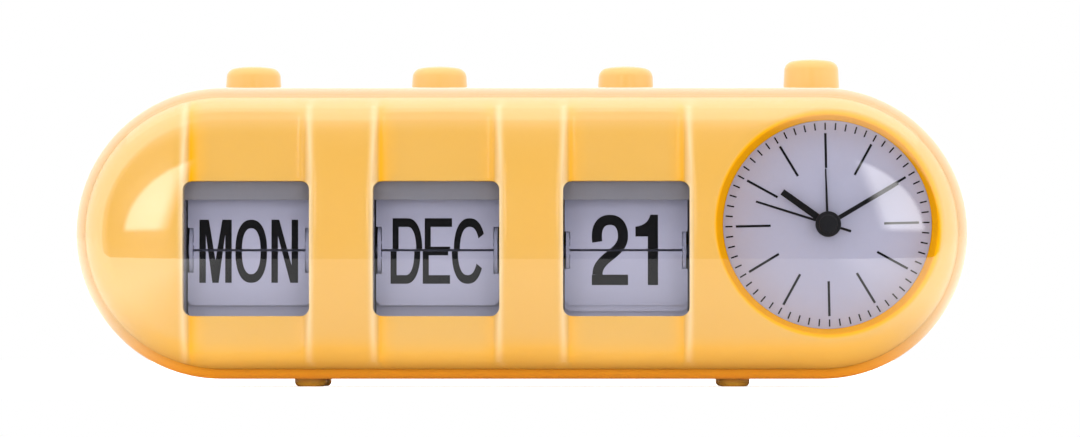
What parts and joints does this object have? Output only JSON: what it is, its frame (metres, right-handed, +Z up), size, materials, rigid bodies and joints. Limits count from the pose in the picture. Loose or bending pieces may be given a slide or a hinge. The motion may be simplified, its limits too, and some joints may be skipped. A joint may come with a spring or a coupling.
{
  "type": "flip calendar alarm clock",
  "caption": "Pill-shaped table clock: split-leaf windows for day, month and date stepped by push buttons, and a round alarm dial with hands, all behind one clear domed cover.",
  "frame": {"origin": "middle of the bounding box on the plane that the feet stand on", "axes": "+X to the right as the user reads it, +Y to the back, +Z up"},
  "size_m": [0.205, 0.06, 0.0761],
  "materials": {
    "yellow_plastic": "glossy moulded ABS",
    "yellow_satin": "satin moulded ABS",
    "clear_plastic": "clear polished acrylic",
    "grey_leaf": "matt printed PVC sheet",
    "grey_frame": "satin moulded ABS",
    "white_acetal": "moulded acetal",
    "dial_print": "matt painted aluminium",
    "black_hands": "black painted aluminium",
    "black_plastic": "moulded ABS",
    "spring_steel": "bright rolled strip",
    "zinc_steel": "zinc plated",
    "nickel_brass": "nickel plated",
    "cell_jacket": "plain shrink sleeve"
  },
  "bodies": {
    "housing": {"clear_cover": "clear_plastic", "front_fascia": "yellow_satin", "rear_case": "yellow_plastic", "feet": "yellow_plastic", "case_screws": "zinc_steel", "frame_screws": "zinc_steel", "alarm_return_spring": "spring_steel", "dial_plate": "dial_print", "movement_case": "black_plastic", "movement_back": "black_plastic", "battery_cell": "cell_jacket", "battery_contacts": "nickel_brass", "day_frame": "grey_frame", "day_return_spring": "spring_steel", "month_frame": "grey_frame", "month_return_spring": "spring_steel", "date_frame": "grey_frame", "date_return_spring": "spring_steel"},
    "day_button_body": {"day_button": "yellow_plastic", "day_plunger": "white_acetal"},
    "day_drum_body": {"day_drum": "white_acetal", "day_leaves": "grey_leaf"},
    "day_leaf_body": {"day_flip_leaf": "grey_leaf"},
    "month_button_body": {"month_button": "yellow_plastic", "month_plunger": "white_acetal"},
    "month_drum_body": {"month_drum": "white_acetal", "month_leaves": "grey_leaf"},
    "month_leaf_body": {"month_flip_leaf": "grey_leaf"},
    "date_button_body": {"date_button": "yellow_plastic", "date_plunger": "white_acetal"},
    "date_drum_body": {"date_drum": "white_acetal", "date_leaves": "grey_leaf"},
    "date_leaf_body": {"date_flip_leaf": "grey_leaf"},
    "alarm_button_body": {"alarm_button": "yellow_plastic", "alarm_plunger": "white_acetal"},
    "alarm_hand_body": {"alarm_hand": "black_hands"},
    "hour_hand_body": {"hour_hand": "black_hands"},
    "minute_hand_body": {"minute_hand": "black_hands"},
    "second_hand_body": {"second_hand": "black_hands"},
    "time_set_knob_body": {"time_set_knob": "black_plastic"},
    "alarm_set_knob_body": {"alarm_set_knob": "black_plastic"},
    "battery_door_body": {"battery_door": "yellow_plastic"}
  },
  "joints": [
    {"name": "day_press", "type": "slide", "parent": "housing", "child": "day_button_body", "axis": [0, 0, 1], "range_m": [-0.003, 0], "stiffness_N_per_m": 250, "springref_m": 0.004, "deforming": ["day_return_spring"]},
    {"name": "day_drum_turn", "type": "hinge", "parent": "housing", "child": "day_drum_body", "pos_m": [-0.0627, -0.0074, 0.0314], "axis": [1, 0, 0], "range_deg": [0, 25.71]},
    {"name": "day_leaf_flip", "type": "hinge", "parent": "day_drum_body", "child": "day_leaf_body", "pos_m": [-0.0627, -0.01422, 0.03296], "axis": [1, 0, 0], "range_deg": [0, 154.29]},
    {"name": "month_press", "type": "slide", "parent": "housing", "child": "month_button_body", "axis": [0, 0, 1], "range_m": [-0.003, 0], "stiffness_N_per_m": 250, "springref_m": 0.004, "deforming": ["month_return_spring"]},
    {"name": "month_drum_turn", "type": "hinge", "parent": "housing", "child": "month_drum_body", "pos_m": [-0.01932, -0.0074, 0.0314], "axis": [1, 0, 0], "range_deg": [0, 30]},
    {"name": "month_leaf_flip", "type": "hinge", "parent": "month_drum_body", "child": "month_leaf_body", "pos_m": [-0.01932, -0.01416, 0.03321], "axis": [1, 0, 0], "range_deg": [0, 150]},
    {"name": "date_press", "type": "slide", "parent": "housing", "child": "date_button_body", "axis": [0, 0, 1], "range_m": [-0.003, 0], "stiffness_N_per_m": 250, "springref_m": 0.004, "deforming": ["date_return_spring"]},
    {"name": "date_drum_turn", "type": "hinge", "parent": "housing", "child": "date_drum_body", "pos_m": [0.02405, -0.0074, 0.0314], "axis": [1, 0, 0], "range_deg": [0, 11.61]},
    {"name": "date_leaf_flip", "type": "hinge", "parent": "date_drum_body", "child": "date_leaf_body", "pos_m": [0.02405, -0.01436, 0.03211], "axis": [1, 0, 0], "range_deg": [0, 168.39]},
    {"name": "alarm_press", "type": "slide", "parent": "housing", "child": "alarm_button_body", "axis": [0, 0, 1], "range_m": [-0.003, 0], "stiffness_N_per_m": 250, "springref_m": 0.004, "deforming": ["alarm_return_spring"]},
    {"name": "time_set_knob_turn", "type": "hinge", "parent": "housing", "child": "time_set_knob_body", "pos_m": [0.0622, 0.0264, 0.0372], "axis": [0, 1, 0], "continuous": true},
    {"name": "alarm_set_knob_turn", "type": "hinge", "parent": "housing", "child": "alarm_set_knob_body", "pos_m": [0.0782, 0.0264, 0.0372], "axis": [0, 1, 0], "continuous": true},
    {"name": "alarm_hand_turn", "type": "hinge", "parent": "housing", "child": "alarm_hand_body", "pos_m": [0.0702, -0.0177, 0.0372], "axis": [0, 1, 0], "continuous": true},
    {"name": "hour_hand_turn", "type": "hinge", "parent": "housing", "child": "hour_hand_body", "pos_m": [0.0702, -0.0177, 0.0372], "axis": [0, 1, 0], "continuous": true},
    {"name": "minute_hand_turn", "type": "hinge", "parent": "housing", "child": "minute_hand_body", "pos_m": [0.0702, -0.0177, 0.0372], "axis": [0, 1, 0], "continuous": true},
    {"name": "second_hand_turn", "type": "hinge", "parent": "housing", "child": "second_hand_body", "pos_m": [0.0702, -0.0177, 0.0372], "axis": [0, 1, 0], "continuous": true},
    {"name": "battery_door_pull", "type": "slide", "parent": "housing", "child": "battery_door_body", "axis": [0, 1, 0], "range_m": [0, 0.02]}
  ],
  "couplings": [
    {"joint": "day_drum_turn", "follows": "day_press", "rad_per_m": -149.6},
    {"joint": "day_leaf_flip", "follows": "day_press", "rad_per_m": -897.59},
    {"joint": "month_drum_turn", "follows": "month_press", "rad_per_m": -174.53},
    {"joint": "month_leaf_flip", "follows": "month_press", "rad_per_m": -872.66},
    {"joint": "date_drum_turn", "follows": "date_press", "rad_per_m": -67.56},
    {"joint": "date_leaf_flip", "follows": "date_press", "rad_per_m": -979.63},
    {"joint": "minute_hand_turn", "follows": "time_set_knob_turn", "ratio": 1},
    {"joint": "hour_hand_turn", "follows": "time_set_knob_turn", "ratio": 0.083333},
    {"joint": "alarm_hand_turn", "follows": "alarm_set_knob_turn", "ratio": -1}
  ]
}
